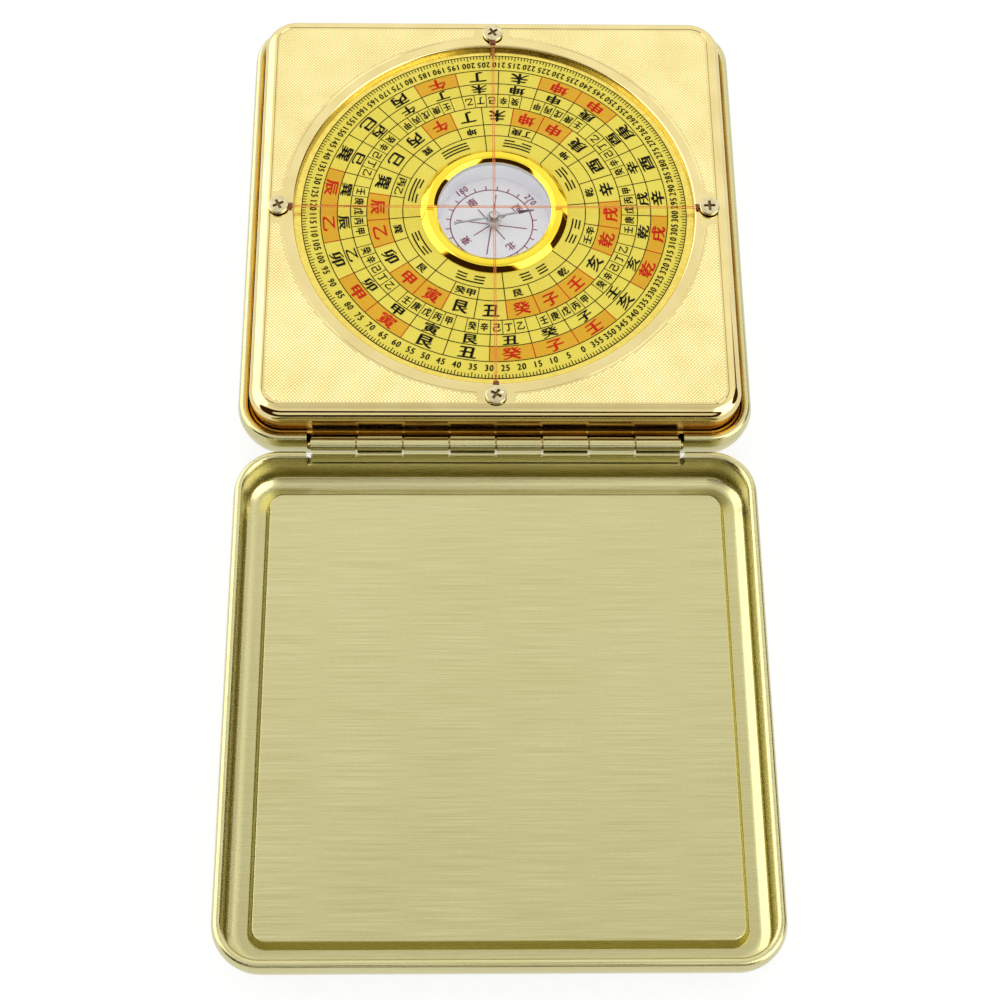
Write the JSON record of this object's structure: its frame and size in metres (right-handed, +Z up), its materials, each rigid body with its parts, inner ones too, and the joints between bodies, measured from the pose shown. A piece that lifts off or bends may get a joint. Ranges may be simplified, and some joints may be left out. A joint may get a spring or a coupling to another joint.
{
  "type": "folding pocket luopan compass",
  "caption": "Folding feng shui compass: hinged brass case, polished face plate with crosshair threads, turning printed dial and a glazed needle capsule.",
  "frame": {"origin": "on the table, under the middle of the hinge, with the case open by 180 degrees", "axes": "+X along the hinge, +Y from the hinge toward the far side of the case (the lid lies toward -Y), +Z up out of the dial"},
  "size_m": [0.0866, 0.1746, 0.0146],
  "materials": {
    "brushed_brass": "brushed pale brass plating",
    "polished_gold": "mirror-polished gold plating",
    "turned_brass": "plain turned brass",
    "nickel_steel": "nickel-plated steel",
    "nylon_thread": "orange translucent nylon",
    "printed_dial": "yellow printed enamel on aluminium",
    "white_lacquer": "brass lacquered white inside",
    "printed_card": "white card printed in red",
    "clear_glass": "flat clear glass",
    "felt": "wool felt",
    "foam": "closed-cell foam",
    "agate": "polished agate"
  },
  "bodies": {
    "base": {"base_shell": "brushed_brass", "base_hinge_leaf": "brushed_brass", "hinge_pin": "turned_brass", "face_plate": "polished_gold", "carrier_plate": "turned_brass", "foam_pad": "foam", "felt_ring": "felt", "screw_north": "nickel_steel", "screw_east": "nickel_steel", "screw_south": "nickel_steel", "screw_west": "nickel_steel", "post_north": "turned_brass", "post_east": "turned_brass", "post_south": "turned_brass", "post_west": "turned_brass", "crosshair_thread_east_west": "nylon_thread", "crosshair_thread_north_south": "nylon_thread"},
    "lid": {"lid_shell": "brushed_brass", "lid_hinge_leaf": "brushed_brass"},
    "dial": {"dial_disc": "printed_dial", "turntable_plate": "turned_brass", "capsule_cup": "white_lacquer", "capsule_ring": "polished_gold", "capsule_glass": "clear_glass", "compass_card": "printed_card", "pivot_pin": "nickel_steel"},
    "needle": {"compass_needle": "nickel_steel", "needle_hub": "nickel_steel", "hub_jewel": "agate"}
  },
  "joints": [
    {"name": "lid_hinge", "type": "hinge", "parent": "base", "child": "lid", "pos_m": [0, 0, 0.00904], "axis": [-1, 0, 0], "range_deg": [0, 180]},
    {"name": "dial_turn", "type": "hinge", "parent": "base", "child": "dial", "pos_m": [0, 0.044, 0.0123], "axis": [0, 0, 1], "continuous": true},
    {"name": "needle_swing", "type": "hinge", "parent": "dial", "child": "needle", "pos_m": [0, 0.044, 0.0103], "axis": [0, 0, 1], "continuous": true}
  ]
}
